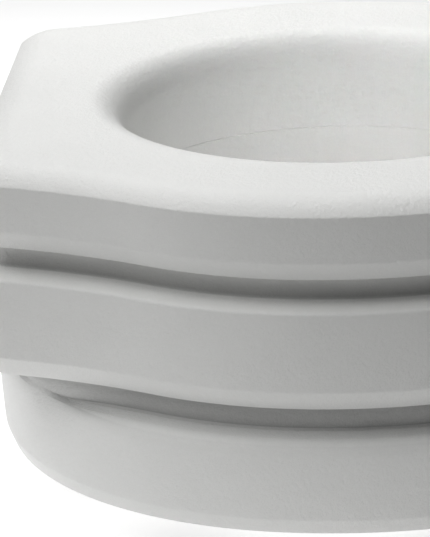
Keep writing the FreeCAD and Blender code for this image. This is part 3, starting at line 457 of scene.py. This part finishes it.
def riser_shell_rings():
    """Rings of the lower moulding, from its neck down the outside and up through the opening."""
    inner_wall = 7.5 * MM
    rebate = 3.8 * MM
    rings = seat_rings(
        [
            (NECK_INSET + 2 * MM, TIER_ONE_BOTTOM, 0),
            (NECK_INSET, TIER_ONE_BOTTOM, 0.5 * MM),
            (NECK_INSET, NECK_BOTTOM, 2.5 * MM),
            (0, TIER_TWO_TOP, 2.2 * MM),
            (0, TIER_TWO_BAND_TOP, 3.2 * MM),
            (BAND_INSET, TIER_TWO_BOTTOM, 1.6 * MM),
            (BAND_INSET + 4 * MM, TIER_TWO_BOTTOM, 0),
        ],
        3 * MM,
    )
    wall = groove_wall()
    ceiling = seat_reach(BAND_INSET + 4 * MM)
    for share in (0.35, 0.7):
        across = ceiling + (wall - ceiling) * share
        rings.append((across, np.full(AROUND, TIER_TWO_BOTTOM)))
    rings += drum_top_rings()
    rings += drum_side_rings()
    rings.append((core_reach(), np.full(AROUND, DRUM_TOP - 3 * MM)))
    rings.append((core_reach(), np.full(AROUND, 95 * MM)))
    rings += seat_rings(
        [
            (11 * MM, 95 * MM, 0),
            (11 * MM, 106 * MM, 0),
            (4 * MM, 106 * MM, 0),
            (4 * MM, 142 * MM, 0),
            (16.5 * MM, 142 * MM, 0),
            (16.5 * MM, 157 * MM, 0),
        ],
        10 * MM,
    )
    rings += hole_rings(
        [
            (inner_wall, 157 * MM, 0),
            (inner_wall, BASE, 0),
            (0, BASE, 0.8 * MM),
            (0, SEAM - SEAM_EDGE, 0.2 * MM),
            (SEAM_EDGE, SEAM, 0.2 * MM),
            (rebate, SEAM, 0),
            (rebate, TIER_ONE_BOTTOM, 0),
        ]
    )
    # The rings are laid from the outside in, so they are turned round to face the surface outward.
    return rings[::-1]


def front_boss():
    """The boss round the clamp's shaft, with a fillet where it leaves the drum's wall."""
    back = RISER_LOW.y + 17 * MM
    front = RISER_LOW.y
    root = -DRUM_FRONT_REACH + CENTRE_Y + 1.6 * MM
    corners = [
        (BOSS_BORE, back, 0),
        (BOSS_RADIUS, back, 0),
        (BOSS_RADIUS + 3 * MM, root + 1.5 * MM, 0),
        (BOSS_RADIUS, root - 0.6 * MM, 2.4 * MM),
        (BOSS_RADIUS, front, 1.2 * MM),
        (BOSS_BORE, front, 0.4 * MM),
    ]
    return turned_boss(BOSS_HEIGHT, rounded_profile(corners + corners[:1])[:-1])


# ------------------------------------------------------------------ materials
# Painted shade: how far the closed-in test reaches, and how dark the colour gets in grooves and
# recesses.
PAINTED_SHADE_REACH = 0.022
PAINTED_SHADE_DARKEST = 0.2


def new_material(name, colour, roughness, metallic=0.0, **sockets):
    """A material whose even values sit on the shader's own sockets."""
    material = bpy.data.materials.new(name)
    material.use_nodes = True
    shader = material.node_tree.nodes["Principled BSDF"]
    shader.inputs["Base Color"].default_value = (*colour, 1.0)
    shader.inputs["Roughness"].default_value = roughness
    shader.inputs["Metallic"].default_value = metallic
    for socket, value in sockets.items():
        shader.inputs[socket.replace("_", " ").capitalize()].default_value = value
    return material, material.node_tree, shader


def add_node(tree, kind, **settings):
    node = tree.nodes.new(kind)
    for name, value in settings.items():
        setattr(node, name, value)
    return node


def noise(tree, coordinates, scale, detail=2.0, roughness=0.5):
    node = add_node(tree, "ShaderNodeTexNoise")
    node.inputs["Scale"].default_value = scale
    node.inputs["Detail"].default_value = detail
    node.inputs["Roughness"].default_value = roughness
    tree.links.new(coordinates, node.inputs["Vector"])
    return node.outputs["Fac"]


def spread(tree, value, low, high):
    """Maps a 0 to 1 texture value onto a range."""
    node = add_node(tree, "ShaderNodeMapRange")
    node.inputs["From Min"].default_value = 0.3
    node.inputs["From Max"].default_value = 0.7
    node.inputs["To Min"].default_value = low
    node.inputs["To Max"].default_value = high
    tree.links.new(value, node.inputs["Value"])
    return node.outputs["Result"]


def tint(tree, value, first, second):
    """A colour between two, by a texture value."""
    node = add_node(tree, "ShaderNodeValToRGB")
    ramp = node.color_ramp
    ramp.elements[0].position = 0.3
    ramp.elements[0].color = (*first, 1.0)
    ramp.elements[1].position = 0.7
    ramp.elements[1].color = (*second, 1.0)
    tree.links.new(value, node.inputs["Fac"])
    return node.outputs["Color"]


def bump(tree, shader, heights):
    """Chains bumps; each is (texture value, strength, distance)."""
    normal = None
    for value, strength, distance in heights:
        node = add_node(tree, "ShaderNodeBump")
        node.inputs["Strength"].default_value = strength
        node.inputs["Distance"].default_value = distance
        tree.links.new(value, node.inputs["Height"])
        if normal is not None:
            tree.links.new(normal, node.inputs["Normal"])
        normal = node.outputs["Normal"]
    tree.links.new(normal, shader.inputs["Normal"])


def object_coordinates(tree):
    return add_node(tree, "ShaderNodeTexCoord").outputs["Object"]


def painted_recess_shade(tree, colour, reach, darkest):
    """Painted shade: darkens a colour where the surface is closed in within a short reach, but not
    on faces that look upward.
    """
    closed = add_node(tree, "ShaderNodeAmbientOcclusion", samples=8, only_local=True)
    closed.inputs["Distance"].default_value = reach
    fade = add_node(tree, "ShaderNodeMapRange")
    fade.inputs["From Min"].default_value = 0.45
    fade.inputs["From Max"].default_value = 0.95
    fade.inputs["To Min"].default_value = darkest
    fade.inputs["To Max"].default_value = 1.0
    tree.links.new(closed.outputs["AO"], fade.inputs["Value"])
    level = add_node(tree, "ShaderNodeSeparateXYZ")
    tree.links.new(add_node(tree, "ShaderNodeNewGeometry").outputs["Normal"], level.inputs[0])
    upward = add_node(tree, "ShaderNodeMapRange", interpolation_type="SMOOTHSTEP")
    upward.inputs["From Min"].default_value = 0.15
    upward.inputs["From Max"].default_value = 0.75
    tree.links.new(level.outputs["Z"], upward.inputs["Value"])
    share = add_node(tree, "ShaderNodeMath", operation="MAXIMUM")
    tree.links.new(fade.outputs["Result"], share.inputs[0])
    tree.links.new(upward.outputs["Result"], share.inputs[1])
    mix = add_node(tree, "ShaderNodeVectorMath", operation="SCALE")
    tree.links.new(colour, mix.inputs[0])
    tree.links.new(share.outputs["Value"], mix.inputs["Scale"])
    return mix.outputs["Vector"]


def moulded_plastic(name, first, second, roughness, grain=1.0):
    """Polyethylene from a textured mould: orange peel, fine grain and faint flow clouding, with
    painted shade in its grooves and recesses.
    """
    material, tree, shader = new_material(name, first, roughness)
    shader.inputs["IOR"].default_value = 1.5
    shader.inputs["Specular IOR Level"].default_value = 0.42
    coordinates = object_coordinates(tree)
    clouds = noise(tree, coordinates, 14.0, 3.0)
    peel = noise(tree, coordinates, 420.0, 2.0, 0.55)
    fine = noise(tree, coordinates, 1500.0, 3.0, 0.7)
    speckle = add_node(tree, "ShaderNodeMath", operation="MULTIPLY_ADD")
    speckle.inputs[1].default_value = 0.45
    tree.links.new(fine, speckle.inputs[0])
    tree.links.new(spread(tree, clouds, 0.22, 0.34), speckle.inputs[2])
    mottled = tint(tree, speckle.outputs["Value"], first, second)
    # painted shade: the mottled colour is darkened in grooves and recesses
    colour = painted_recess_shade(tree, mottled, PAINTED_SHADE_REACH, PAINTED_SHADE_DARKEST)
    tree.links.new(colour, shader.inputs["Base Color"])
    tree.links.new(
        spread(tree, peel, roughness - 0.06, roughness + 0.08), shader.inputs["Roughness"]
    )
    bump(tree, shader, [(peel, 0.7 * grain, 0.0006), (fine, 0.7 * grain, 0.0004)])
    return material


def soft_rubber(name, first, second):
    """Dusty black rubber with fine pores."""
    material, tree, shader = new_material(name, first, 0.72)
    shader.inputs["Specular IOR Level"].default_value = 0.3
    coordinates = object_coordinates(tree)
    dust = noise(tree, coordinates, 90.0, 4.0)
    pores = noise(tree, coordinates, 2200.0, 2.0)
    tree.links.new(tint(tree, dust, first, second), shader.inputs["Base Color"])
    tree.links.new(spread(tree, dust, 0.62, 0.82), shader.inputs["Roughness"])
    bump(tree, shader, [(pores, 0.4, 0.0001)])
    return material


def worked_metal(name, first, second, roughness, stretch):
    """Metal with fine working marks; stretch squeezes the grain along each axis."""
    material, tree, shader = new_material(name, first, roughness, metallic=1.0)
    mapping = add_node(tree, "ShaderNodeMapping")
    mapping.inputs["Scale"].default_value = stretch
    tree.links.new(object_coordinates(tree), mapping.inputs["Vector"])
    marks = noise(tree, mapping.outputs["Vector"], 900.0, 3.0)
    patina = noise(tree, object_coordinates(tree), 60.0, 3.0)
    tree.links.new(tint(tree, patina, first, second), shader.inputs["Base Color"])
    worn = spread(tree, marks, roughness - 0.08, roughness + 0.1)
    tree.links.new(worn, shader.inputs["Roughness"])
    bump(tree, shader, [(marks, 0.18, 0.00005)])
    return material


# name: (first colour, second colour, roughness, strength of the grain)
PLASTICS = {
    "shell_plastic": ((0.77, 0.775, 0.76), (0.86, 0.86, 0.845), 0.42, 1.0),
    "cover_plastic": ((0.76, 0.76, 0.745), (0.79, 0.79, 0.775), 0.55, 1.0),
    "knob_plastic": ((0.10, 0.12, 0.145), (0.12, 0.14, 0.165), 0.5, 1.6),
    "cap_plastic": ((0.72, 0.72, 0.71), (0.75, 0.75, 0.74), 0.3, 0.4),
    "bearing_plastic": ((0.74, 0.73, 0.67), (0.78, 0.77, 0.71), 0.38, 0.5),
}
# name: (first colour, second colour, roughness, squeeze of the working marks)
METALS = {
    "bracket_steel": ((0.56, 0.56, 0.57), (0.62, 0.62, 0.62), 0.34, (0.05, 1, 1)),
    "screw_steel": ((0.52, 0.52, 0.53), (0.60, 0.60, 0.60), 0.28, (1, 1, 0.2)),
    "nut_brass": ((0.66, 0.46, 0.17), (0.72, 0.52, 0.22), 0.3, (1, 0.1, 1)),
}
MATERIALS = {name: moulded_plastic(name, *look) for name, look in PLASTICS.items()}
MATERIALS["pad_rubber"] = soft_rubber("pad_rubber", (0.028, 0.028, 0.030), (0.05, 0.05, 0.052))
MATERIALS |= {name: worked_metal(name, *look) for name, look in METALS.items()}


def dress(piece, slot_name):
    piece.data.materials.clear()
    piece.data.materials.append(MATERIALS[slot_name])


for part in frame["record"]["subparts"]:
    dress(frame["nodes"][part["node"]], part["material_slot"])

for shell_name, bands in (
    ("seat_shell", [ring_band(seat_shell_rings())]),
    ("riser_shell", [ring_band(riser_shell_rings()), front_boss()]),
):
    shell = moulding(f"{shell_name}_moulding", *bands)
    dress(shell, "shell_plastic")
    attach(shell, "seat")
    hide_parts(shell_name)


# ------------------------------------------------------------------ stage
FLOOR_COLOUR = (0.48, 0.48, 0.48)
# The floor glows: a painted pool of light, brightest round POOL_CENTRE and gone by POOL_OUTER.
FLOOR_GLOW = 0.74
POOL_CENTRE = (0.15, 0.25, 0.0)
POOL_INNER = 0.2
POOL_OUTER = 1.0
HORIZON_STRENGTH = 0.02
ZENITH_STRENGTH = 2.5
SKY_LEAN = (-0.1, 0.5, 1.0)
SKY_EDGE = 0.79
SKY_FULL = 0.98
BACK_POWER = 9.5
KEY_POWER = 3.3
BEAM_POWER = 0.014
BEAM_SPREAD = math.radians(4.5)


def make_floor():
    mesh = bpy.data.meshes.new("floor")
    half = 6.0
    corners = [(-half, -half, 0), (half, -half, 0), (half, half, 0), (-half, half, 0)]
    mesh.from_pydata(corners, [], [(0, 1, 2, 3)])
    floor = bpy.data.objects.new("floor", mesh)
    bpy.context.scene.collection.objects.link(floor)
    floor.location.z = CAD_LOW.z
    material, tree, shader = new_material("floor_paper", FLOOR_COLOUR, 0.9)
    shader.inputs["Emission Color"].default_value = (1.0, 1.0, 1.0, 1.0)
    # painted light: the floor emits a glow in a pool round POOL_CENTRE, though it is no lamp
    away = add_node(tree, "ShaderNodeVectorMath", operation="DISTANCE")
    away.inputs[1].default_value = POOL_CENTRE
    tree.links.new(object_coordinates(tree), away.inputs[0])
    pool = add_node(tree, "ShaderNodeMapRange", interpolation_type="SMOOTHSTEP")
    pool.inputs["From Min"].default_value = POOL_INNER
    pool.inputs["From Max"].default_value = POOL_OUTER
    pool.inputs["To Min"].default_value = FLOOR_GLOW
    pool.inputs["To Max"].default_value = 0.0
    tree.links.new(away.outputs["Value"], pool.inputs["Value"])
    tree.links.new(pool.outputs["Result"], shader.inputs["Emission Strength"])
    mesh.materials.append(material)


def make_sky():
    """A soft ceiling: bright round one direction, falling to a dim horizon."""
    world = bpy.data.worlds.new("studio")
    bpy.context.scene.world = world
    world.use_nodes = True
    tree = world.node_tree
    background = tree.nodes["Background"]
    background.inputs["Color"].default_value = (1.0, 1.0, 1.0, 1.0)
    toward = add_node(tree, "ShaderNodeVectorMath", operation="DOT_PRODUCT")
    toward.inputs[1].default_value = Vector(SKY_LEAN).normalized()
    tree.links.new(add_node(tree, "ShaderNodeTexCoord").outputs["Generated"], toward.inputs[0])
    fade = add_node(tree, "ShaderNodeMapRange", interpolation_type="SMOOTHSTEP")
    fade.inputs["From Min"].default_value = SKY_EDGE
    fade.inputs["From Max"].default_value = SKY_FULL
    fade.inputs["To Min"].default_value = HORIZON_STRENGTH
    fade.inputs["To Max"].default_value = ZENITH_STRENGTH
    tree.links.new(toward.outputs["Value"], fade.inputs["Value"])
    tree.links.new(fade.outputs["Result"], background.inputs["Strength"])


def area_light(name, position, target, size, power, spread=math.pi):
    """A soft panel of (width, height); a small spread makes it a straight beam."""
    data = bpy.data.lights.new(name, "AREA")
    data.shape = "RECTANGLE"
    data.size, data.size_y = size
    data.energy = power
    data.spread = spread
    light = bpy.data.objects.new(name, data)
    light.location = position
    light.rotation_euler = (Vector(target) - Vector(position)).to_track_quat("-Z", "Y").to_euler()
    bpy.context.scene.collection.objects.link(light)


make_floor()
make_sky()
area_light("back_panel", (0.85, 0.25, 0.95), (0.65, 0.15, 0.0), (0.8, 0.8), BACK_POWER)
area_light("key_panel", (-0.75, 0.1, 1.45), (0.0, 0.03, TOP), (0.45, 0.45), KEY_POWER)
far_wall = (HOLE_HALF_WIDTH, CENTRE_Y, TOP - 32 * MM)
area_light("beam", (-1.6, CENTRE_Y, 0.95), far_wall, (0.17, 0.02), BEAM_POWER, BEAM_SPREAD)


# ------------------------------------------------------------------ camera
def make_camera():
    """Looks at the seat's right side from a little ahead of it, from 20 degrees above."""
    heading = math.radians(5.738)
    pitch = math.radians(20.088)
    roll = math.radians(-2.029)
    distance = 2.625
    aim = Vector((-0.0362, 0.0862, 0.1179))
    forward = Vector(
        (
            math.cos(pitch) * math.cos(heading),
            math.cos(pitch) * math.sin(heading),
            -math.sin(pitch),
        )
    )
    level_right = forward.cross(Vector((0, 0, 1))).normalized()
    level_up = level_right.cross(forward)
    right = level_right * math.cos(roll) + level_up * math.sin(roll)
    up = level_up * math.cos(roll) - level_right * math.sin(roll)
    data = bpy.data.cameras.new("camera")
    data.sensor_width = 36.0
    data.lens = 335.2
    data.clip_end = 50.0
    camera = bpy.data.objects.new("camera", data)
    turn = Matrix((right, up, -forward)).transposed().to_4x4()
    camera.matrix_world = Matrix.Translation(aim - forward * distance) @ turn
    bpy.context.scene.collection.objects.link(camera)
    bpy.context.scene.camera = camera


make_camera()
bpy.context.scene.view_settings.view_transform = "Standard"
